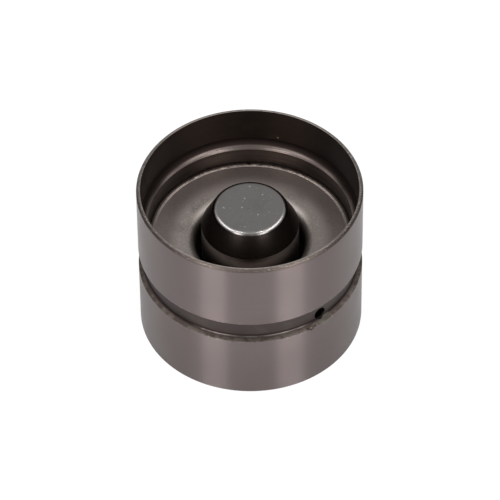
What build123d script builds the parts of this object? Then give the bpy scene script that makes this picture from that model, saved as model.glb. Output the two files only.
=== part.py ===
from build123d import *
from math import cos, radians, sin, sqrt, tan
import os

# Hydraulic valve lifter of the bucket type, standing on its closed cam face with the open end up.
# +Z runs along its axis towards the valve, the origin is the centre of the cam face,
# and -Y is the side that looks at the viewer. All lengths are in millimetres.

# Bucket
body_diameter = 33.0
body_height = 26.0
disc_thickness = 3.0
cam_edge_chamfer = 0.2
rim_chamfer = 0.25
mouth_wall = 0.56
step_wall = 1.55
reservoir_wall = 1.9
ledge_drop = 7.1
ledge_slope = 31.0
ledge_fillet = 1.7
ledge_lip_fillet = 0.1
floor_fillet = 1.2

# Oil groove round the bucket, and the feed hole in it
groove_lift = 10.97
groove_width = 3.69
groove_depth = 0.8
groove_flank_rise = 0.33
groove_floor_fillet = 0.12
feed_hole_diameter = 1.8
feed_hole_lift = 12.2
feed_hole_azimuth = 39.5
feed_hole_overrun = 0.5

# Recess in the inside of the cam disc that lets oil in under the plunger
overflow_width = 3.0
overflow_depth = 0.7
overflow_start = 1.5
overflow_end = 9.5

# Support element: web and guide sleeve, drawn from one sheet
sheet = 1.1
web_drop = 9.7
web_slope = 6.0
flange_length = 2.5
flange_edge_fillet = 0.4
flange_inner_fillet = 0.4
bead_width = 0.6
bead_run = 0.2
bead_height = 0.18
bead_fillet = 0.15
lip_fillet = 1.5
well_gap = 0.85
well_depth = 3.5
neck_fillet = 0.3
guide_clearance = 0.03
sleeve_edge_chamfer = 0.15

# Inner housing, the barrel that pushes on the valve stem
barrel_diameter = 14.3
barrel_bore_diameter = 11.0
crown_thickness = 2.6
face_drop = 4.0
face_diameter = 10.6
face_edge_fillet = 0.8
shoulder_drop = 3.5
shoulder_fillet = 0.15
chamber_fillet = 0.5
foot_chamfer = 0.2
bore_lead_in = 0.3
travel = 2.4
bottom_clearance = 0.2

# Retaining ring in the barrel's groove
ring_land = 0.6
ring_thickness = 0.8
ring_width = 1.05
ring_groove_depth = 0.45
ring_play = 0.02
ring_gap_angle = 18.0
ring_start_angle = 150.0
stop_clearance = 0.02

# Plunger
plunger_clearance = 0.03
plunger_length = 8.6
plunger_chamfer = 0.4
plunger_bore_diameter = 7.2
plunger_bore_fillet = 0.6
plunger_bore_lead_in = 0.3
plunger_roof = 2.2
seat_hole_diameter = 2.0
seat_chamfer = 0.35

# Check valve
ball_diameter = 3.2
ball_lift = 0.3
cage_sheet = 0.35
cage_play = 0.15
cage_flange_diameter = 9.8
cage_vent_diameter = 1.0
cage_crown_fillet = 0.4
cage_root_fillet = 0.2
cage_headroom = 0.49
cage_windows = 3
cage_window_width = 1.3
cage_window_height = 1.7
ball_spring_wire = 0.16
ball_spring_diameter = 1.7
ball_spring_turns = 2.5

# Return spring between the check valve's flange and the barrel's crown
return_spring_wire = 0.9
return_spring_diameter = 8.6
return_spring_active_turns = 3
return_spring_end_pitch = 0.92
return_spring_tip = 0.25

# Radii
body_radius = body_diameter / 2
mouth_radius = body_radius - mouth_wall
step_radius = body_radius - step_wall
reservoir_radius = body_radius - reservoir_wall
groove_radius = body_radius - groove_depth
barrel_radius = barrel_diameter / 2
barrel_bore_radius = barrel_bore_diameter / 2
face_radius = face_diameter / 2
guide_radius = barrel_radius + guide_clearance
well_radius = barrel_radius + well_gap
plunger_radius = barrel_bore_radius - plunger_clearance
plunger_bore_radius = plunger_bore_diameter / 2
seat_hole_radius = seat_hole_diameter / 2
ball_radius = ball_diameter / 2
cage_inner_radius = ball_radius + cage_play
cage_outer_radius = cage_inner_radius + cage_sheet
cage_flange_radius = cage_flange_diameter / 2
ring_inner_radius = barrel_radius - ring_groove_depth + ring_play
ring_outer_radius = ring_inner_radius + ring_width

# Heights above the cam face
groove_top = groove_lift + groove_width
ledge_z = body_height - ledge_drop
web_z = body_height - web_drop
seat_z = web_z - flange_length
face_z = body_height - face_drop
shoulder_z = face_z - shoulder_drop
chamber_z = face_z - crown_thickness
foot_z = disc_thickness + bottom_clearance + travel
ring_z = foot_z + ring_land
ring_top = ring_z + ring_thickness
sleeve_z = ring_top + stop_clearance
plunger_top = disc_thickness + plunger_length
plunger_bore_top = plunger_top - plunger_roof

# The ball touches the 45 degree seat, and its spring sits between it and the cage's crown
contact_radius = ball_radius * sin(radians(45))
ball_z = plunger_top - seat_chamfer + (contact_radius - seat_hole_radius) + contact_radius
cage_crown_z = ball_z + ball_radius + ball_lift + cage_headroom
ball_spring_wire_radius = ball_spring_wire / 2
ball_spring_radius = ball_spring_diameter / 2
ball_spring_low = ball_z + sqrt((ball_radius + ball_spring_wire_radius) ** 2 - ball_spring_radius**2)
ball_spring_high = cage_crown_z - ball_spring_wire_radius

os.makedirs("parts", exist_ok=True)


# Bucket: a forged and ground cup with a thinner wall at its mouth
ledge_rise = (mouth_radius - step_radius) * tan(radians(ledge_slope))
with BuildPart() as outer_housing:
    with BuildSketch(Plane.XZ):
        with BuildLine():
            FilletPolyline(
                (0, 0),
                (body_radius - cam_edge_chamfer, 0),
                (body_radius, cam_edge_chamfer),
                (body_radius, groove_lift),
                (groove_radius, groove_lift + groove_flank_rise),
                (groove_radius, groove_top - groove_flank_rise),
                (body_radius, groove_top),
                (body_radius, body_height - rim_chamfer),
                (body_radius - rim_chamfer, body_height),
                (mouth_radius, body_height),
                (mouth_radius, ledge_z + ledge_rise),
                (step_radius, ledge_z),
                (step_radius, seat_z),
                (reservoir_radius, seat_z),
                (reservoir_radius, disc_thickness),
                (0, disc_thickness),
                radius=[0, 0, 0, 0, groove_floor_fillet, groove_floor_fillet, 0, 0, 0, 0,
                        ledge_fillet, ledge_lip_fillet, 0, 0, floor_fillet, 0],
                close=True,
            )
        make_face()
    revolve(axis=Axis.Z)
    feed_direction = Vector(sin(radians(feed_hole_azimuth)), -cos(radians(feed_hole_azimuth)), 0)
    feed_mouth = feed_direction * body_radius + Vector(0, 0, feed_hole_lift)
    with Locations(Plane(origin=feed_mouth, z_dir=feed_direction)):
        Hole(radius=feed_hole_diameter / 2, depth=reservoir_wall + feed_hole_overrun)
    with BuildSketch(Plane.XY.offset(disc_thickness)):
        with Locations(((overflow_start + overflow_end) / 2, 0)):
            SlotOverall(overflow_end - overflow_start, overflow_width)
    extrude(amount=-overflow_depth, mode=Mode.SUBTRACT)
outer_housing.part.label = "outer_housing"
export_step(outer_housing.part, "parts/outer_housing.step")


# Support element: a flange pressed into the bucket, a web that dips to a rolled lip,
# and a sleeve that necks in to guide the barrel
bead_root_radius = step_radius - bead_width - bead_run
web_root_z = web_z - bead_height


def web_height(radius):
    """Height of the web's upper face at a distance from the axis."""
    return web_root_z - (bead_root_radius - radius) * tan(radians(web_slope))


web_sheet = sheet / cos(radians(web_slope))
neck_z = web_height(well_radius) - well_depth
guide_top = neck_z - (well_radius - guide_radius)
neck_shift = sheet * tan(radians(45 / 2))
flange_inner_radius = step_radius - sheet
with BuildPart() as support_element:
    with BuildSketch(Plane.XZ):
        with BuildLine():
            FilletPolyline(
                (step_radius, seat_z),
                (step_radius, web_z),
                (step_radius - bead_width, web_z),
                (bead_root_radius, web_root_z),
                (well_radius, web_height(well_radius)),
                (well_radius, neck_z),
                (guide_radius, guide_top),
                (guide_radius, sleeve_z + sleeve_edge_chamfer),
                (guide_radius + sleeve_edge_chamfer, sleeve_z),
                (guide_radius + sheet, sleeve_z),
                (guide_radius + sheet, guide_top - neck_shift),
                (well_radius + sheet, neck_z - neck_shift),
                (well_radius + sheet, web_height(well_radius + sheet) - web_sheet),
                (flange_inner_radius, web_height(flange_inner_radius) - web_sheet),
                (flange_inner_radius, seat_z),
                radius=[0, flange_edge_fillet, bead_fillet, bead_fillet, lip_fillet, neck_fillet,
                        neck_fillet, 0, 0, 0, 0, 0, lip_fillet - sheet, flange_inner_fillet, 0],
                close=True,
            )
        make_face()
    revolve(axis=Axis.Z)
support_element.part.label = "support_element"
export_step(support_element.part, "parts/support_element.step")


# Inner housing: a ground barrel, closed at its conical nose, with a groove for its ring
ring_groove_radius = barrel_radius - ring_groove_depth
with BuildPart() as inner_housing:
    with BuildSketch(Plane.XZ):
        with BuildLine():
            FilletPolyline(
                (0, chamber_z),
                (barrel_bore_radius, chamber_z),
                (barrel_bore_radius, foot_z + bore_lead_in),
                (barrel_bore_radius + bore_lead_in, foot_z),
                (barrel_radius - foot_chamfer, foot_z),
                (barrel_radius, foot_z + foot_chamfer),
                (barrel_radius, ring_z - ring_play),
                (ring_groove_radius, ring_z - ring_play),
                (ring_groove_radius, ring_top + ring_play),
                (barrel_radius, ring_top + ring_play),
                (barrel_radius, shoulder_z),
                (face_radius, face_z),
                (0, face_z),
                radius=[0, chamber_fillet, 0, 0, 0, 0, 0, 0, 0, 0, shoulder_fillet,
                        face_edge_fillet, 0],
                close=True,
            )
        make_face()
    revolve(axis=Axis.Z)
inner_housing.part.label = "inner_housing"
export_step(inner_housing.part, "parts/inner_housing.step")


# Retaining ring: a flat split ring that stops the barrel against the sleeve's foot
ring_start = Vector(cos(radians(ring_start_angle)), sin(radians(ring_start_angle)), 0)
ring_side = ring_start.cross(Vector(0, 0, 1))
with BuildPart() as retaining_ring:
    with BuildSketch(Plane(origin=(0, 0, ring_z), x_dir=ring_start, z_dir=ring_side)):
        with Locations((ring_inner_radius, 0)):
            Rectangle(ring_width, ring_thickness, align=(Align.MIN, Align.MIN))
    revolve(axis=Axis.Z, revolution_arc=360 - ring_gap_angle)
retaining_ring.part.label = "retaining_ring"
export_step(retaining_ring.part, "parts/retaining_ring.step")


# Plunger: open towards the cam disc, with the ball's seat in its upper end
with BuildPart() as plunger:
    with BuildSketch(Plane.XZ):
        with BuildLine():
            FilletPolyline(
                (plunger_bore_radius + plunger_bore_lead_in, disc_thickness),
                (plunger_radius - plunger_chamfer, disc_thickness),
                (plunger_radius, disc_thickness + plunger_chamfer),
                (plunger_radius, plunger_top - plunger_chamfer),
                (plunger_radius - plunger_chamfer, plunger_top),
                (seat_hole_radius + seat_chamfer, plunger_top),
                (seat_hole_radius, plunger_top - seat_chamfer),
                (seat_hole_radius, plunger_bore_top),
                (plunger_bore_radius, plunger_bore_top),
                (plunger_bore_radius, disc_thickness + plunger_bore_lead_in),
                radius=[0, 0, 0, 0, 0, 0, 0, 0, plunger_bore_fillet, 0],
                close=True,
            )
        make_face()
    revolve(axis=Axis.Z)
plunger.part.label = "plunger"
export_step(plunger.part, "parts/plunger.step")


# Check ball
with BuildPart() as check_ball:
    with Locations((0, 0, ball_z)):
        Sphere(ball_radius)
check_ball.part.label = "check_ball"
export_step(check_ball.part, "parts/check_ball.step")


# Ball cage: a sheet-metal hat with windows, held down by the return spring
with BuildPart() as ball_cage:
    with BuildSketch(Plane.XZ):
        with BuildLine():
            FilletPolyline(
                (cage_flange_radius, plunger_top),
                (cage_flange_radius, plunger_top + cage_sheet),
                (cage_outer_radius, plunger_top + cage_sheet),
                (cage_outer_radius, cage_crown_z + cage_sheet),
                (cage_vent_diameter / 2, cage_crown_z + cage_sheet),
                (cage_vent_diameter / 2, cage_crown_z),
                (cage_inner_radius, cage_crown_z),
                (cage_inner_radius, plunger_top),
                radius=[0, 0, cage_root_fillet, cage_crown_fillet, 0, 0, 0, 0],
                close=True,
            )
        make_face()
    revolve(axis=Axis.Z)
    with BuildSketch(Plane.XY.offset(plunger_top + cage_sheet + cage_root_fillet)):
        with PolarLocations(cage_inner_radius, cage_windows):
            Rectangle(4 * cage_sheet, cage_window_width)
    extrude(amount=cage_window_height, mode=Mode.SUBTRACT)
ball_cage.part.label = "ball_cage"
export_step(ball_cage.part, "parts/ball_cage.step")


def wire_coil(coil_radius, wire_radius, low, turns, height):
    """Wire wound about the axis, with its centre line rising from one height by another."""
    with BuildPart() as coil:
        with BuildLine():
            line = Helix(pitch=height / turns, height=height, radius=coil_radius, center=(0, 0, low))
        with BuildSketch(Plane(origin=line @ 0, z_dir=line % 0)):
            Circle(wire_radius)
        sweep(path=line, is_frenet=True)
    return coil


# Ball spring: a fine open coil between the ball and the cage's crown
ball_spring = wire_coil(
    ball_spring_radius, ball_spring_wire_radius, ball_spring_low, ball_spring_turns,
    ball_spring_high - ball_spring_low,
)
ball_spring.part.label = "ball_spring"
export_step(ball_spring.part, "parts/ball_spring.step")


# Return spring: active turns between two closed end turns, which are ground flat
spring_low = plunger_top + cage_sheet
return_spring_radius = return_spring_diameter / 2
return_wire_radius = return_spring_wire / 2
tip_shift = return_wire_radius - return_spring_tip
active_low = spring_low - tip_shift + return_spring_end_pitch
active_high = chamber_z + tip_shift - return_spring_end_pitch
low_end = wire_coil(
    return_spring_radius, return_wire_radius, active_low - return_spring_end_pitch,
    1, return_spring_end_pitch,
)
active_coil = wire_coil(
    return_spring_radius, return_wire_radius, active_low,
    return_spring_active_turns, active_high - active_low,
)
high_end = wire_coil(
    return_spring_radius, return_wire_radius, active_high,
    1, return_spring_end_pitch,
)
with BuildPart() as return_spring:
    add([low_end.part, active_coil.part, high_end.part])
    with Locations((return_spring_radius, 0, active_low), (return_spring_radius, 0, active_high)):
        Sphere(return_wire_radius)
    split(bisect_by=Plane.XY.offset(spring_low), keep=Keep.TOP)
    split(bisect_by=Plane.XY.offset(chamber_z), keep=Keep.BOTTOM)
return_spring.part.label = "return_spring"
export_step(return_spring.part, "parts/return_spring.step")
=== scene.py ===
from math import acos, ceil, cos, pi, radians, sin, tan

import bmesh
import bpy
from mathutils import Matrix, Vector


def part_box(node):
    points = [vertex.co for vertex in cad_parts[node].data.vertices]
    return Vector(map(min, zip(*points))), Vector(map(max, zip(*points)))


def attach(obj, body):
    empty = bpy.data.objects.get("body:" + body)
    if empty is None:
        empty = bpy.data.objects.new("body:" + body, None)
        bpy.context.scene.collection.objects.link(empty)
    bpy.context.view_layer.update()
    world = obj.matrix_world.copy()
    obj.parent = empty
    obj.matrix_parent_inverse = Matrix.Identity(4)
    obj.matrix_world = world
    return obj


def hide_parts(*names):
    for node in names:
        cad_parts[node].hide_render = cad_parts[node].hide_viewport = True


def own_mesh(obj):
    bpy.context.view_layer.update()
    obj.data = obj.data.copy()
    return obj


# A hydraulic valve lifter on its closed cam face, seen into its open end.
# The bucket, the web with its sleeve and the barrel are turned here from outlines that start from
# the sizes of their CAD nodes. Rounds are fine arcs, and each machined surface has its own finish.
# The pieces inside keep their CAD shapes, and the two springs are copied to ride with the bucket.
# Outlines are in millimetres, the scene is in metres.

MM = 0.001
ON_AXIS = 1e-9

# Steps of a full turn, of the feed hole's turn, of a rounded corner and of the slot's round ends
RING_STEPS = 288
DRILL_STEPS = 72
ARC_STEP = radians(5)
ROUND_END_STEPS = 23

# Faces that meet at more than this angle keep a crisp edge
SHARP_ANGLE = radians(18)

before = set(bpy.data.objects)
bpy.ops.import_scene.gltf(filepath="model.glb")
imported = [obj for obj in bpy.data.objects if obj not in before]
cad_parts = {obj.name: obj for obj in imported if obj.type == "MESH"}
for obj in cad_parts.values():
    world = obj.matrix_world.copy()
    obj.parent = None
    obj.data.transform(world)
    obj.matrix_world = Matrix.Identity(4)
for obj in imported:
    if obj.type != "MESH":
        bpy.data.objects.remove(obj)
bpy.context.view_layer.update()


def reach(node):
    """Largest radius, lowest height and highest height of a CAD node, in millimetres."""
    low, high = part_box(node)
    return high.x / MM, low.z / MM, high.z / MM


# Sizes read from the frame
body_radius, _, body_height = reach("outer_housing")
step_radius, sleeve_z, web_z = reach("support_element")
barrel_radius, foot_z, face_z = reach("inner_housing")
_, ring_z, ring_top = reach("retaining_ring")
plunger_radius, disc_z, _ = reach("plunger")
_, _, chamber_z = reach("return_spring")

# Bucket
cam_edge_chamfer = 0.2
rim_chamfer = 0.25
mouth_radius = body_radius - 0.56
reservoir_radius = body_radius - 1.9
seat_z = web_z - 2.5
ledge_z = body_height - 7.1
ledge_slope = tan(radians(31))
ledge_rise = (mouth_radius - step_radius) * ledge_slope
ledge_fillet = 1.7
ledge_lip_fillet = 0.1
floor_fillet = 1.2
groove_low = 10.97
groove_high = groove_low + 3.69
groove_radius = body_radius - 0.8
groove_flank_rise = 0.33
groove_floor_fillet = 0.12

# Feed hole in the groove: its drill starts this far inside the wall and ends this far outside
feed_overrun = 0.5
feed_clearance = 1
feed_azimuth = radians(39.5)
feed_radius = 0.9
feed_edge = 0.1
feed_z = 12.2

# Slot in the cam disc's inside that lets oil in under the plunger
overflow_start = 1.5
overflow_end = 9.5
overflow_width = 3.0
overflow_depth = 0.7

# Web and sleeve
sheet = 1.1
web_slope = tan(radians(6))
bead_width = 0.6
bead_run = 0.2
bead_height = 0.18
bead_fillet = 0.15
flange_fillet = 0.4
lip_fillet = 1.5
lip_crest_radius = 9.2
well_depth = 3.5
neck_angle = radians(45)
neck_fillet = 0.3
sleeve_chamfer = 0.15
well_radius = barrel_radius + 0.85
guide_radius = barrel_radius + 0.03

# Barrel
bore_radius = plunger_radius + 0.03
bore_lead_in = 0.3
foot_chamfer = 0.2
ring_play = 0.02
ring_groove_radius = barrel_radius - 0.45
shoulder_z = face_z - 3.5
shoulder_fillet = 0.15
face_radius = 5.3
face_fillet = 0.8
chamber_fillet = 0.5

# Marks on the steel, with azimuths in degrees from the camera's side
stain_azimuth = 41
bore_grain_azimuth = 164.5
bore_grain_z = 20.9
seam_notch_azimuth = 180.5
# Knock mark on the skirt: azimuth and height over the groove's lower edge
skirt_marks = ((30.8, 0), (31.6, -0.15), (32.3, -0.3), (33.2, -0.12))
# The same mark and the stain in the groove: depth of steel over its floor, azimuth, height over its
# lower edge, size and colour
groove_marks = (
    (0.65, 30.2, 0.06, 0.22, (44, 34, 30)),
    (0.7, 34.5, 0.04, 0.25, (46, 36, 32)),
    (0.7, 32.2, 0.04, 0.2, (92, 78, 68)),
    (0.4, 43, 0.2, 1.0, (60, 56, 51)),
)
# Specks on the barrel's face: radius and azimuth
face_specks = ((4.25, 180), (3.15, 144), (1.9, 38), (1.15, 271), (3.85, 270), (1.95, 203))

# Surroundings: levels of 1 are white
floor_radius = 3
floor_color = (0.85, 0.85, 0.85, 1)
floor_seen_level = 0.92
floor_level_in_metal = 0.5
tent_level = 0.45

# Camera, solved from the photograph: it looks down at the axis from the front
camera_distance = 609.3
camera_elevation = radians(46.578)
camera_roll = radians(-0.64)
camera_aim_z = 13.0
focal_pixels = 4135.05
image_side = 500
sensor_width = 36
aim_right_pixels = 0.367
aim_up_pixels = 0.306


# Materials

def socket_value(tree, value, socket):
    """Sets a socket to a number or colour, or links it to another node's output."""
    if isinstance(value, bpy.types.NodeSocket):
        tree.links.new(value, socket)
    else:
        socket.default_value = value


def add(tree, kind, inputs=None, **settings):
    """Adds a node, sets its properties and its inputs, and returns it."""
    node = tree.nodes.new(kind)
    for name, value in settings.items():
        setattr(node, name, value)
    for name, value in (inputs or {}).items():
        socket_value(tree, value, node.inputs[name])
    return node


def maths(tree, operation, *values):
    """The output of a Math node."""
    node = add(tree, "ShaderNodeMath", dict(enumerate(values)), operation=operation)
    return node.outputs[0]


def blend(tree, factor, first, second):
    """The mix of two colours."""
    node = add(tree, "ShaderNodeMix", data_type="RGBA")
    for name, value in (("Factor", factor), ("A", first), ("B", second)):
        socket = [s for s in node.inputs if s.name == name and s.enabled][0]
        socket_value(tree, value, socket)
    return [s for s in node.outputs if s.enabled][0]


def linear(red, green, blue):
    """A colour as seen on a screen, 0 to 255, as the shader's own values."""
    def one(level):
        level /= 255
        return level / 12.92 if level <= 0.04045 else ((level + 0.055) / 1.055) ** 2.4
    return (one(red), one(green), one(blue), 1.0)


class Finish:
    """A steel surface: its node tree with the coordinates that its texture uses."""

    def __init__(self, name, color, roughness, anisotropy=0.0, edge_tint=1.0):
        self.material = bpy.data.materials.new(name)
        self.material.use_nodes = True
        self.tree = self.material.node_tree
        self.shader = self.tree.nodes["Principled BSDF"]
        self.shader.inputs["Metallic"].default_value = 1.0
        self.shader.inputs["Base Color"].default_value = color
        self.shader.inputs["Roughness"].default_value = roughness
        self.shader.inputs["Specular Tint"].default_value = (edge_tint, edge_tint, edge_tint, 1.0)
        self.color = color
        self.roughness = roughness
        self.bumps = None
        place = add(self.tree, "ShaderNodeTexCoord").outputs["Object"]
        to_millimetres = {0: place, 1: (1 / MM, 1 / MM, 1 / MM)}
        self.place = add(
            self.tree, "ShaderNodeVectorMath", to_millimetres, operation="MULTIPLY"
        ).outputs[0]
        parts = add(self.tree, "ShaderNodeSeparateXYZ", {0: self.place}).outputs
        self.x, self.y, self.z = parts
        flat = add(self.tree, "ShaderNodeCombineXYZ", {0: self.x, 1: self.y}).outputs[0]
        length = add(self.tree, "ShaderNodeVectorMath", {0: flat}, operation="LENGTH")
        self.radius = length.outputs["Value"]
        if anisotropy:
            # Turned and ground lines run round the axis, so reflections spread across them
            self.shader.inputs["Anisotropic"].default_value = anisotropy
            self.shader.inputs["Anisotropic Rotation"].default_value = 0.25
            tangent = add(self.tree, "ShaderNodeTangent", direction_type="RADIAL", axis="Z")
            self.tree.links.new(tangent.outputs[0], self.shader.inputs["Tangent"])

    def maths(self, operation, *values):
        """The output of a Math node in this finish."""
        return maths(self.tree, operation, *values)

    def both(self, first, second):
        """1 only where two factors are 1."""
        return self.maths("MULTIPLY", first, second)

    def sideways(self):
        """Millimetres to the left or right of the middle."""
        return self.maths("ABSOLUTE", self.x)

    def ramp(self, value, low, high, to_low=0.0, to_high=1.0):
        """Maps a value from low..high to to_low..to_high, smoothly and clamped."""
        inputs = {
            "Value": value, "From Min": low, "From Max": high, "To Min": to_low, "To Max": to_high,
        }
        node = add(self.tree, "ShaderNodeMapRange", inputs, interpolation_type="SMOOTHSTEP")
        return node.outputs[0]

    def near(self, value, centre, width):
        """1 where a value is at the centre, falling smoothly to 0 at this distance from it."""
        away = self.maths("ABSOLUTE", self.maths("SUBTRACT", value, centre))
        return self.ramp(away, width, 0.0)

    def noise(self, size, detail=3.0):
        """Cloudy noise, 0 to 1, whose lumps are about this many millimetres across."""
        inputs = {"Vector": self.place, "Scale": 1 / size, "Detail": detail}
        return add(self.tree, "ShaderNodeTexNoise", inputs).outputs[0]

    def lines(self, pitch, length):
        """Noise in lines that run round the axis, one about every pitch, each about so long."""
        safe_radius = self.maths("MAXIMUM", self.radius, 0.01)
        stretch = body_radius / length
        across = add(self.tree, "ShaderNodeCombineXYZ", {
            0: self.maths("DIVIDE", self.radius, pitch),
            1: self.maths("DIVIDE", self.z, pitch),
            2: self.maths("MULTIPLY", self.maths("DIVIDE", self.x, safe_radius), stretch),
        }).outputs[0]
        along = self.maths("MULTIPLY", self.maths("DIVIDE", self.y, safe_radius), stretch)
        inputs = {"Vector": across, "W": along, "Scale": 1.0, "Detail": 2.0}
        return add(self.tree, "ShaderNodeTexNoise", inputs, noise_dimensions="4D").outputs[0]

    def tint(self, factor, color):
        """Mixes a colour in where factor is 1."""
        self.color = blend(self.tree, factor, self.color, color)
        socket_value(self.tree, self.color, self.shader.inputs["Base Color"])

    def mottle(self, size, low, high, amount, color, detail=3.0):
        """Mixes a colour in by this amount, in clouds where the noise is above low to high."""
        self.tint(self.ramp(self.noise(size, detail), low, high, to_high=amount), color)

    def streak(self, pitch, length, amount, color, low=0.4, high=0.7):
        """Mixes a colour in by this amount, in lines that run round the axis."""
        self.tint(self.ramp(self.lines(pitch, length), low, high, to_high=amount), color)

    def spot(self, radius, azimuth, height, size, color):
        """Mixes a colour in round one point, with its azimuth in degrees from the camera's side."""
        turn = radians(azimuth)
        point = (radius * sin(turn), -radius * cos(turn), height)
        ends = {0: self.place, 1: point}
        away = add(self.tree, "ShaderNodeVectorMath", ends, operation="DISTANCE")
        self.tint(self.ramp(away.outputs["Value"], size, size / 2), color)

    def roughen(self, factor, amount):
        """Adds this much roughness where factor is 1."""
        extra = self.maths("MULTIPLY", factor, amount)
        self.roughness = self.maths("ADD", self.roughness, extra)
        socket_value(self.tree, self.roughness, self.shader.inputs["Roughness"])

    def bump(self, height, depth):
        """Raises the surface by depth millimetres where height is 1."""
        inputs = {"Height": height, "Distance": depth * MM, "Strength": 1.0}
        node = add(self.tree, "ShaderNodeBump", inputs)
        if self.bumps:
            self.tree.links.new(self.bumps, node.inputs["Normal"])
        self.bumps = node.outputs[0]
        self.tree.links.new(self.bumps, self.shader.inputs["Normal"])


# Tints that follow x or y stand in for what a lifter reflects of its surroundings there

# Ground skirt: fine lines round it, faint oil tones, a lower half darkened by painted reflection,
# painted shade at its sides, nicks along the groove
ground = Finish("ground_skirt", linear(102, 93, 92), 0.25, anisotropy=1.0, edge_tint=0.9)
# Painted reflection: the skirt darkens towards the bottom like the shaded floor beside it
ground.tint(ground.ramp(ground.z, groove_low + 1, 4.0), linear(95, 87, 86))
ground.mottle(9, 0.45, 0.75, 0.35, linear(96, 84, 80))
# Painted shade: the skirt darker towards its sides
ground.tint(ground.ramp(ground.sideways(), 7, 10.5, to_high=0.5), linear(84, 76, 75))
ground.streak(0.12, 25, 0.2, linear(90, 82, 81), low=0.35, high=0.65)
nicks = ground.ramp(ground.noise(0.4), 0.52, 0.62, to_high=0.8)
low_edge = ground.near(ground.z, groove_low, 0.4)
ground.tint(ground.both(nicks, low_edge), linear(66, 58, 54))
bright_nicks = ground.ramp(ground.noise(0.3), 0.56, 0.66, to_high=0.7)
both_edges = ground.maths("MAXIMUM", low_edge, ground.near(ground.z, groove_high, 0.25))
ground.tint(ground.both(bright_nicks, both_edges), linear(150, 142, 136))
skirt_top = body_height - rim_chamfer
ground.tint(ground.ramp(ground.z, skirt_top - 0.3, skirt_top), linear(76, 68, 64))
ground.spot(body_radius, stain_azimuth, groove_low - 0.1, 1.0, linear(94, 92, 84))
for azimuth, rise in skirt_marks:
    ground.spot(body_radius, azimuth, groove_low + rise, 0.2, linear(44, 34, 30))
ground.roughen(ground.ramp(ground.noise(5), 0.3, 0.7), 0.02)
ground.bump(ground.lines(0.1, 20), 0.00015)

# Cam face: ground flat and polished in arcs by the cam that turns it
cam_face = Finish("cam_face", linear(122, 116, 113), 0.22)
cam_face.mottle(5, 0.45, 0.7, 0.5, linear(104, 98, 95))
cam_face.streak(0.6, 12, 0.4, linear(98, 92, 88))
cam_face.roughen(cam_face.ramp(cam_face.radius, 6, 15), 0.1)
cam_face.bump(cam_face.lines(0.6, 12), 0.0008)

# Groove: dark turned floor, stained flanks, painted shade in its corners and a painted highlight on
# its corner in front
corner_z = groove_low + groove_flank_rise
groove = Finish("turned_groove", linear(60, 53, 52), 0.45, anisotropy=0.5)
# Flanks olive and lighter towards the skirt: an olive tone with painted light away from the corner
groove.tint(groove.ramp(groove.radius, groove_radius + 0.1, body_radius), linear(80, 74, 68))
groove.mottle(3, 0.45, 0.7, 0.5, linear(72, 67, 62))
groove.streak(0.2, 15, 0.5, linear(48, 42, 40))
stains = groove.ramp(groove.noise(0.9), 0.45, 0.58, to_high=0.7)
low_flank = groove.near(groove.z, groove_low + 0.1, 0.3)
groove.tint(groove.both(stains, low_flank), linear(46, 37, 34))
in_front = groove.ramp(groove.sideways(), 9.0, 6.5)
beside = groove.maths("SUBTRACT", 1.0, in_front)
# Painted shade in the groove's corners, beside the front only
groove_corner_shade = groove.both(
    groove.near(groove.z, corner_z, 0.4), groove.near(groove.radius, groove_radius, 0.35),
)
groove.tint(groove.both(groove_corner_shade, beside), linear(30, 25, 23))
# Painted shade: a dark line on the floor just above its lower corner
groove.tint(groove.near(groove.z, corner_z + 0.3, 0.25), linear(46, 40, 38))
# Painted highlight on the lower corner in front, broken up, and smoother there
front_corner_highlight = groove.both(in_front, groove.near(groove.z, corner_z, 0.12))
broken_up = groove.ramp(groove.noise(1.5), 0.38, 0.6)
groove.tint(groove.both(front_corner_highlight, broken_up), linear(80, 75, 70))
groove.roughen(front_corner_highlight, -0.05)
for depth, azimuth, rise, size, levels in groove_marks:
    groove.spot(groove_radius + depth, azimuth, groove_low + rise, size, linear(*levels))
groove.bump(groove.lines(0.2, 15), 0.004)

# Rim and broken edges: bright grains where they are knocked, a painted highlight round the mouth,
# painted light on the edge in front and painted shade at the rim's sides
rim = Finish("rim_face", linear(106, 98, 94), 0.35)
# Painted highlight round the mouth's edge
rim.tint(rim.near(rim.radius, mouth_radius, 0.2), linear(160, 152, 146))
# Painted shade at the rim's sides
rim.tint(rim.ramp(rim.sideways(), 10, 13, to_high=0.6), linear(72, 66, 62))
rim.mottle(0.25, 0.5, 0.68, 0.6, linear(176, 168, 160))
rim.mottle(0.5, 0.55, 0.7, 0.6, linear(64, 56, 52))
rim.bump(rim.noise(0.3), 0.02)
edge = Finish("broken_edge", linear(50, 44, 42), 0.4)
# Painted light: the broken edges lighter in front
edge.tint(edge.ramp(edge.y, -12, -15.5), linear(62, 55, 52))
edge.mottle(0.25, 0.52, 0.7, 0.6, linear(110, 102, 96))
edge.bump(edge.noise(0.3), 0.02)

# Oxide-dark mouth bore with turned lines, painted shade at its sides, and one light grain
bore = Finish("dark_bore", linear(46, 38, 34), 0.4, anisotropy=0.5)
bore.streak(0.25, 20, 0.25, linear(34, 27, 24))
bore.mottle(4, 0.5, 0.75, 0.5, linear(60, 52, 47))
# Painted shade: the bore darker to the left and more to the right
bore.tint(bore.ramp(bore.x, -8, -12), linear(32, 25, 22))
bore.tint(bore.ramp(bore.x, 7, 12), linear(20, 15, 13))
bore.spot(mouth_radius, bore_grain_azimuth, bore_grain_z, 0.16, linear(150, 138, 96))
bore.bump(bore.lines(0.25, 20), 0.002)

# Web seat above the web: painted light at the back, painted shade elsewhere and painted light again
# at its foot
seat_bore = Finish("seat_bore", linear(90, 80, 75), 0.35, anisotropy=0.5)
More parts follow.
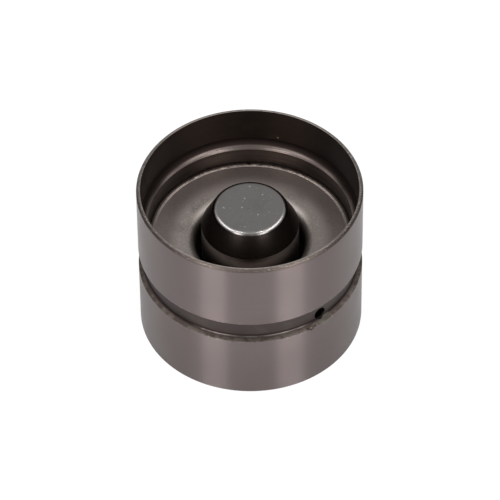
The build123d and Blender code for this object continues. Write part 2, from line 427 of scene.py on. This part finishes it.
# Painted shade on the seat away from its back
seat_side = seat_bore.ramp(seat_bore.y, 14.5, 11.5)
seat_bore.tint(seat_side, linear(48, 41, 38))
seat_bore.streak(0.25, 20, 0.5, linear(50, 43, 40))
# Painted light at the foot of the seat's shaded sides
seat_foot = seat_bore.ramp(seat_bore.z, web_z + 0.9, web_z + 0.1)
seat_bore.tint(seat_bore.both(seat_side, seat_foot), linear(80, 72, 68))

# Ledge under the mouth: turned, with painted shade between its sides and its back, and in its
# corner against the mouth bore
ledge = Finish("bore_ledge", linear(84, 76, 73), 0.26)
ledge.streak(0.3, 15, 0.5, linear(62, 54, 51))
# Painted shade between the ledge's sides and its back, and on its sides
ledge.tint(ledge.near(ledge.y, 11.2, 3.4), linear(46, 40, 38))
ledge.tint(ledge.near(ledge.y, 7, 6), linear(34, 29, 27))
# Painted shade in the ledge's corner against the mouth bore, which is rougher there too
corner = ledge.ramp(ledge.radius, step_radius + 0.4, step_radius + 0.65)
ledge.tint(corner, linear(30, 24, 22))
ledge.roughen(corner, 0.3)
ledge.bump(ledge.lines(0.3, 15), 0.002)

# Drawn web: smooth near the wall, grainy at the lip, with painted light towards the lip and painted
# shade in the well
web_face = Finish("drawn_web", linear(105, 97, 93), 0.4)
# Rougher towards the lip, where painted light also makes it lighter
worked_and_lit = web_face.ramp(web_face.radius, 12.6, 10.2)
web_face.roughen(worked_and_lit, 0.12)
web_face.tint(worked_and_lit, linear(144, 136, 131))
web_face.mottle(3.5, 0.45, 0.75, 0.5, linear(96, 86, 81))
grain = web_face.ramp(web_face.noise(0.22), 0.5, 0.68)
grainy = web_face.ramp(web_face.radius, 11.6, 9.6, to_low=0.1, to_high=0.5)
web_face.tint(web_face.both(grain, grainy), linear(186, 178, 172))
# Painted shade on the right, painted light on the left near the wall and at the back
web_face.tint(web_face.ramp(web_face.x, 6, 11, to_high=0.3), linear(80, 73, 70))
web_face.tint(web_face.ramp(web_face.x, -10, -13.5, to_high=0.25), linear(136, 128, 123))
web_face.tint(web_face.ramp(web_face.y, 6, 10, to_high=0.5), linear(124, 115, 111))
# Painted highlight on the rolled lip behind the barrel
rolled = web_face.near(web_face.radius, lip_crest_radius, 0.7)
behind = web_face.ramp(web_face.y, 2.5, 5.5, to_high=0.6)
web_face.tint(web_face.both(rolled, behind), linear(190, 182, 176))
# Painted shade inside the well
web_face.tint(web_face.ramp(web_face.radius, 8.6, 7.9), linear(70, 62, 58))
web_face.bump(web_face.noise(0.3), 0.01)
web_face.bump(web_face.lines(0.2, 10), 0.002)

# Seam round the web: bright and dark grains, painted light at its sides, and one notch at the back
seam = Finish("web_seam", linear(80, 72, 68), 0.45)
seam.mottle(0.3, 0.5, 0.68, 0.7, linear(132, 124, 117))
seam.mottle(0.7, 0.52, 0.66, 0.8, linear(48, 41, 38))
# Painted light: the seam lighter at its sides
seam.tint(seam.ramp(seam.sideways(), 8, 12, to_high=0.6), linear(112, 104, 98))
bead_middle = step_radius - bead_width / 2
seam.spot(bead_middle, seam_notch_azimuth, web_z, 0.45, linear(30, 24, 22))
seam.bump(seam.noise(0.3), 0.03)

# Barrel: a ground face with specks and a burnished edge, painted shade on the edge's outer part, a
# dark cone, partly painted reflection, a brighter wall below it with painted shade under the cone
# in front
barrel_face = Finish("barrel_face", linear(105, 103, 101), 0.3, edge_tint=0.4)
burnished = barrel_face.ramp(barrel_face.radius, 4.8, 5.2)
barrel_face.tint(burnished, linear(120, 118, 116))
# Painted shade on the outer part of the face's edge
barrel_face.tint(barrel_face.ramp(barrel_face.radius, 5.2, 5.4), linear(76, 73, 71))
barrel_face.roughen(burnished, -0.08)
barrel_face.mottle(2.5, 0.45, 0.7, 0.4, linear(96, 93, 91))
barrel_face.mottle(0.3, 0.68, 0.74, 0.8, linear(170, 168, 164))
barrel_face.mottle(0.35, 0.72, 0.76, 0.6, linear(60, 56, 54), detail=1.0)
for radius, azimuth in face_specks:
    barrel_face.spot(radius, azimuth, face_z, 0.17, linear(150, 147, 143))
barrel_face.bump(barrel_face.noise(0.3), 0.006)
barrel_face.bump(barrel_face.ramp(barrel_face.radius, 5.5, 4.6), 0.12)
# The cone's colour is darkened partly as painted reflection of the dark bore
barrel_cone = Finish("barrel_cone", linear(82, 73, 68), 0.25, anisotropy=0.4)
barrel_cone.mottle(0.3, 0.7, 0.76, 0.6, linear(140, 132, 126))
barrel_cone.bump(barrel_cone.lines(0.2, 15), 0.002)
barrel_wall = Finish("barrel_wall", linear(120, 113, 109), 0.3, anisotropy=0.4)
barrel_wall.streak(0.2, 15, 0.4, linear(96, 90, 86))
shaded = barrel_wall.both(
    barrel_wall.ramp(barrel_wall.z, shoulder_z - 1.6, shoulder_z),
    barrel_wall.near(barrel_wall.x, 0, 4.5),
)
barrel_wall.tint(shaded, linear(46, 38, 35))

# Drilled hole, painted near black as shade, surfaces inside, and the pieces inside
# Painted shade: the hole's wall and flare are near black
drilled = Finish("drilled_hole", linear(18, 16, 15), 0.5)
drilled.bump(drilled.noise(0.3), 0.02)
inside = Finish("machined_inside", linear(110, 106, 103), 0.35, anisotropy=0.5)
inside.streak(0.3, 15, 0.5, linear(88, 84, 81))
inside.bump(inside.lines(0.3, 15), 0.003)
spring_steel = Finish("spring_wire", linear(96, 92, 90), 0.3)
spring_steel.mottle(0.6, 0.45, 0.7, 0.5, linear(70, 64, 60))
ball_steel = Finish("polished_ball", linear(190, 190, 190), 0.08)
ball_steel.roughen(ball_steel.ramp(ball_steel.noise(0.4), 0.4, 0.7), 0.05)
cage_steel = Finish("pressed_cage", linear(140, 134, 126), 0.35)
cage_steel.mottle(0.8, 0.45, 0.7, 0.5, linear(110, 102, 94))
cage_steel.bump(cage_steel.noise(0.3), 0.01)


# Turning

def rounded(corners):
    """The outline's points with each corner's round as an arc: (radius, height, finish)."""
    points = []
    for index, (radius, height, fillet, finish) in enumerate(corners):
        here = Vector((radius, height))
        if not fillet:
            points.append((here, finish))
            continue
        before = Vector(corners[index - 1][:2])
        after = Vector(corners[(index + 1) % len(corners)][:2])
        to_before = (before - here).normalized()
        to_after = (after - here).normalized()
        half = acos(max(-1.0, min(1.0, to_before.dot(to_after)))) / 2
        centre = here + (to_before + to_after).normalized() * (fillet / sin(half))
        start = here + to_before * (fillet / tan(half)) - centre
        end = here + to_after * (fillet / tan(half)) - centre
        turn = pi - 2 * half
        steps = max(2, ceil(turn / ARC_STEP))
        for step in range(steps + 1):
            share = step / steps
            arm = (start * sin((1 - share) * turn) + end * sin(share * turn)) / sin(turn)
            points.append((centre + arm, finish))
    return points


def turned(name, corners, finishes, steps=RING_STEPS):
    """A solid turned about Z from an outline's corners: (radius, height, fillet, finish)."""
    closed = corners[0][0] > 0
    points = rounded(corners)
    mesh = bmesh.new()
    rings = []
    for point, _ in points:
        if point.x < ON_AXIS:
            rings.append([mesh.verts.new((0, 0, point.y * MM))])
            continue
        rings.append([
            mesh.verts.new((
                point.x * MM * cos(2 * pi * step / steps),
                point.x * MM * sin(2 * pi * step / steps),
                point.y * MM,
            ))
            for step in range(steps)
        ])
    for index in range(len(rings) if closed else len(rings) - 1):
        here, there = rings[index], rings[(index + 1) % len(rings)]
        for step in range(steps):
            after = (step + 1) % steps
            corner_verts = [
                here[step % len(here)], here[after % len(here)],
                there[after % len(there)], there[step % len(there)],
            ]
            # A ring on the axis is one point, so its faces are triangles
            face = mesh.faces.new(list(dict.fromkeys(corner_verts)))
            face.smooth = True
            face.material_index = finishes.index(points[index][1])
    return as_object(name, mesh, finishes)


def as_object(name, mesh, finishes):
    """Puts a bmesh into the scene as an object with these finishes, and returns it."""
    bmesh.ops.recalc_face_normals(mesh, faces=mesh.faces)
    data = bpy.data.meshes.new(name)
    mesh.to_mesh(data)
    mesh.free()
    for finish in finishes:
        data.materials.append(finish.material)
    piece = bpy.data.objects.new(name, data)
    bpy.context.scene.collection.objects.link(piece)
    return piece


def slot_cutter(name, ends, width, low, height, finish, finishes):
    """A solid with round ends along X, which cuts a slot down to the height low."""
    end_radius = width / 2
    start, end = ends
    outline = []
    for centre_x, first_turn in ((end - end_radius, -pi / 2), (start + end_radius, pi / 2)):
        for step in range(ROUND_END_STEPS + 1):
            turn = first_turn + pi * step / ROUND_END_STEPS
            outline.append((centre_x + end_radius * cos(turn), end_radius * sin(turn)))
    mesh = bmesh.new()
    floor_face = mesh.faces.new([mesh.verts.new((x * MM, y * MM, low * MM)) for x, y in outline])
    raised = bmesh.ops.extrude_face_region(mesh, geom=[floor_face])["geom"]
    top_verts = [item for item in raised if isinstance(item, bmesh.types.BMVert)]
    bmesh.ops.translate(mesh, vec=(0, 0, height * MM), verts=top_verts)
    for face in mesh.faces:
        face.material_index = finishes.index(finish)
    return as_object(name, mesh, finishes)


def cut(piece, tool):
    """Takes the tool's solid out of the piece."""
    modifier = piece.modifiers.new("cut", "BOOLEAN")
    modifier.operation = "DIFFERENCE"
    modifier.solver = "EXACT"
    modifier.object = tool
    depsgraph = bpy.context.evaluated_depsgraph_get()
    data = bpy.data.meshes.new_from_object(piece.evaluated_get(depsgraph))
    piece.modifiers.clear()
    piece.data = data
    bpy.data.objects.remove(tool)


def shade(piece):
    """Smooth rounds, crisp corners, and flats that stay flat."""
    piece.data.set_sharp_from_angle(angle=SHARP_ANGLE)
    modifier = piece.modifiers.new("normals", "WEIGHTED_NORMAL")
    modifier.keep_sharp = True


# Bucket
bucket_finishes = [cam_face, ground, groove, edge, rim, bore, ledge, seat_bore, drilled, inside]
bucket = turned("bucket", [
    (0, 0, 0, cam_face),
    (body_radius - cam_edge_chamfer, 0, 0, edge),
    (body_radius, cam_edge_chamfer, 0, ground),
    (body_radius, groove_low, 0, groove),
    (groove_radius, groove_low + groove_flank_rise, groove_floor_fillet, groove),
    (groove_radius, groove_high - groove_flank_rise, groove_floor_fillet, groove),
    (body_radius, groove_high, 0, ground),
    (body_radius, body_height - rim_chamfer, 0, edge),
    (body_radius - rim_chamfer, body_height, 0, rim),
    (mouth_radius, body_height, 0, bore),
    (mouth_radius, ledge_z + ledge_rise, ledge_fillet, ledge),
    (step_radius, ledge_z, ledge_lip_fillet, seat_bore),
    (step_radius, seat_z, 0, inside),
    (reservoir_radius, seat_z, 0, inside),
    (reservoir_radius, disc_z, floor_fillet, inside),
    (0, disc_z, 0, inside),
], bucket_finishes)

feed_length = reservoir_radius - feed_overrun
drill = turned("drill", [
    (0, feed_length, 0, drilled),
    (feed_radius, feed_length, 0, drilled),
    (feed_radius, groove_radius - 2 * feed_edge, 0, drilled),
    (feed_radius + feed_edge, groove_radius, 0, groove),
    (feed_radius + feed_edge, body_radius + feed_clearance, 0, groove),
    (0, body_radius + feed_clearance, 0, groove),
], bucket_finishes, steps=DRILL_STEPS)
drill.matrix_world = (
    Matrix.Translation((0, 0, feed_z * MM))
    @ Matrix.Rotation(feed_azimuth, 4, "Z")
    @ Matrix.Rotation(radians(90), 4, "X")
)
cut(bucket, drill)

cut(bucket, slot_cutter(
    "cutter", (overflow_start, overflow_end), overflow_width,
    disc_z - overflow_depth, 2 * overflow_depth, inside, bucket_finishes,
))

shade(bucket)
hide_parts("outer_housing")
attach(bucket, "bucket")

# Web and sleeve
bead_root = step_radius - bead_width - bead_run
web_root_z = web_z - bead_height
slant = sheet * (1 + web_slope ** 2) ** 0.5


def web_height(radius):
    """Height of the web's upper face, which dips towards the axis."""
    return web_root_z - (bead_root - radius) * web_slope


neck_z = web_height(well_radius) - well_depth
# At its angle the neck's cone drops as much as it narrows
guide_top = neck_z - (well_radius - guide_radius)
neck_shift = sheet * tan(neck_angle / 2)
web = turned("web", [
    (step_radius, seat_z, 0, seam),
    (step_radius, web_z, flange_fillet, seam),
    (step_radius - bead_width, web_z, bead_fillet, seam),
    (bead_root, web_root_z, bead_fillet, web_face),
    (well_radius, web_height(well_radius), lip_fillet, web_face),
    (well_radius, neck_z, neck_fillet, web_face),
    (guide_radius, guide_top, neck_fillet, inside),
    (guide_radius, sleeve_z + sleeve_chamfer, 0, inside),
    (guide_radius + sleeve_chamfer, sleeve_z, 0, inside),
    (guide_radius + sheet, sleeve_z, 0, inside),
    (guide_radius + sheet, guide_top - neck_shift, 0, inside),
    (well_radius + sheet, neck_z - neck_shift, 0, inside),
    (well_radius + sheet, web_height(well_radius + sheet) - slant, lip_fillet - sheet, inside),
    (step_radius - sheet, web_height(step_radius - sheet) - slant, flange_fillet, inside),
    (step_radius - sheet, seat_z, 0, inside),
], [web_face, seam, inside])
shade(web)
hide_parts("support_element")
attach(web, "bucket")

# Barrel
barrel = turned("barrel", [
    (0, chamber_z, 0, inside),
    (bore_radius, chamber_z, chamber_fillet, inside),
    (bore_radius, foot_z + bore_lead_in, 0, inside),
    (bore_radius + bore_lead_in, foot_z, 0, inside),
    (barrel_radius - foot_chamfer, foot_z, 0, inside),
    (barrel_radius, foot_z + foot_chamfer, 0, barrel_wall),
    (barrel_radius, ring_z - ring_play, 0, inside),
    (ring_groove_radius, ring_z - ring_play, 0, inside),
    (ring_groove_radius, ring_top + ring_play, 0, inside),
    (barrel_radius, ring_top + ring_play, 0, barrel_wall),
    (barrel_radius, shoulder_z, shoulder_fillet, barrel_cone),
    (face_radius, face_z, face_fillet, barrel_face),
    (0, face_z, 0, barrel_face),
], [barrel_face, barrel_cone, barrel_wall, inside])
shade(barrel)
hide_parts("inner_housing")
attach(barrel, "barrel")

# The pieces inside keep their CAD shapes
for node, finish in (
    ("plunger", inside), ("retaining_ring", spring_steel), ("return_spring", spring_steel),
    ("ball_spring", spring_steel), ("ball_cage", cage_steel), ("check_ball", ball_steel),
):
    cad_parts[node].data.materials.clear()
    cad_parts[node].data.materials.append(finish.material)


def coil(node):
    """A spring in its CAD shape, copied to ride with the bucket.
    """
    piece = bpy.data.objects.new(node + "_coil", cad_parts[node].data.copy())
    bpy.context.scene.collection.objects.link(piece)
    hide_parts(node)
    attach(piece, "bucket")
    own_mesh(piece)


coil("return_spring")
coil("ball_spring")


# Floor, light and camera

def background(tree, shader, level_when_seen, level_in_metal):
    """Mixes plain white into a shader for the camera, and for what metal reflects."""
    path = add(tree, "ShaderNodeLightPath").outputs
    seen = maths(tree, "MULTIPLY", path["Is Camera Ray"], level_when_seen)
    mirrored = maths(tree, "ADD", path["Is Glossy Ray"], path["Is Transmission Ray"])
    share = maths(tree, "ADD", seen, maths(tree, "MULTIPLY", mirrored, level_in_metal))
    white = add(tree, "ShaderNodeEmission", {"Color": (1, 1, 1, 1), "Strength": 1.0})
    mix = add(tree, "ShaderNodeMixShader", {0: share, 1: shader, 2: white.outputs[0]})
    return mix.outputs[0]


floor_material = bpy.data.materials.new("white_table")
floor_material.use_nodes = True
floor_tree = floor_material.node_tree
floor_shader = floor_tree.nodes["Principled BSDF"]
floor_shader.inputs["Base Color"].default_value = floor_color
floor_shader.inputs["Roughness"].default_value = 0.8
floor_tree.links.new(
    background(floor_tree, floor_shader.outputs[0], floor_seen_level, floor_level_in_metal),
    floor_tree.nodes["Material Output"].inputs["Surface"],
)
bpy.ops.mesh.primitive_circle_add(vertices=64, radius=floor_radius, fill_type="NGON")
floor = bpy.context.object
floor.name = "floor"
floor.data.materials.append(floor_material)

world = bpy.data.worlds.new("white_tent")
bpy.context.scene.world = world
world.use_nodes = True
world_tree = world.node_tree
tent = world_tree.nodes["Background"]
tent.inputs["Color"].default_value = (1, 1, 1, 1)
tent.inputs["Strength"].default_value = tent_level
world_tree.links.new(
    background(world_tree, tent.outputs[0], 1.0, 1.0),
    world_tree.nodes["World Output"].inputs["Surface"],
)


def softbox(name, azimuth, elevation, distance, width, height, power, lean):
    """A rectangular lamp that faces the part, or with a lean an upright panel that leans sideways.

    Angles are in degrees, sizes in metres and power in watts. Azimuth 0 is the camera's side,
    positive to the right.
    """
    data = bpy.data.lights.new(name, "AREA")
    data.shape = "RECTANGLE"
    data.size = width
    data.size_y = height
    data.energy = power
    lamp = bpy.data.objects.new(name, data)
    bpy.context.scene.collection.objects.link(lamp)
    azimuth, elevation = radians(azimuth), radians(elevation)
    level = Vector((sin(azimuth), -cos(azimuth), 0))
    lamp.location = distance * (level * cos(elevation) + Vector((0, 0, sin(elevation))))
    facing = lamp.location if lean is None else level
    turn = facing.to_track_quat("Z", "Y").to_matrix() @ Matrix.Rotation(radians(lean or 0), 3, "Z")
    lamp.rotation_euler = turn.to_euler()


# The strips draw the two bands on the skirt, the top lamps the crescent on the barrel's edge
for name, azimuth, elevation, distance, width, height, power, lean in (
    ("left_strip", -34, 24, 0.66, 0.23, 0.6, 5.6, 7),
    ("right_strip", 36, 24, 0.66, 0.25, 0.6, 6.05, -7),
    ("left_top", -46, 64, 0.7, 0.13, 0.1, 0.5, None),
    ("right_top", 46, 64, 0.7, 0.13, 0.1, 0.5, None),
    ("left_side", -88, 49, 0.7, 0.66, 0.22, 2.5, None),
    ("right_side", 88, 49, 0.7, 0.66, 0.22, 2.5, None),
):
    softbox(name, azimuth, elevation, distance, width, height, power, lean)

lens = bpy.data.cameras.new("camera")
lens.sensor_width = sensor_width
lens.lens = focal_pixels / image_side * sensor_width
lens.shift_x = -aim_right_pixels / image_side
lens.shift_y = -aim_up_pixels / image_side
lens.clip_start = 0.05
lens.clip_end = 20
camera = bpy.data.objects.new("camera", lens)
bpy.context.scene.collection.objects.link(camera)
camera.matrix_world = (
    Matrix.Translation((
        0,
        -camera_distance * cos(camera_elevation) * MM,
        (camera_aim_z + camera_distance * sin(camera_elevation)) * MM,
    ))
    @ Matrix.Rotation(pi / 2 - camera_elevation, 4, "X")
    @ Matrix.Rotation(camera_roll, 4, "Z")
)
bpy.context.scene.camera = camera
bpy.context.scene.view_settings.view_transform = "Standard"
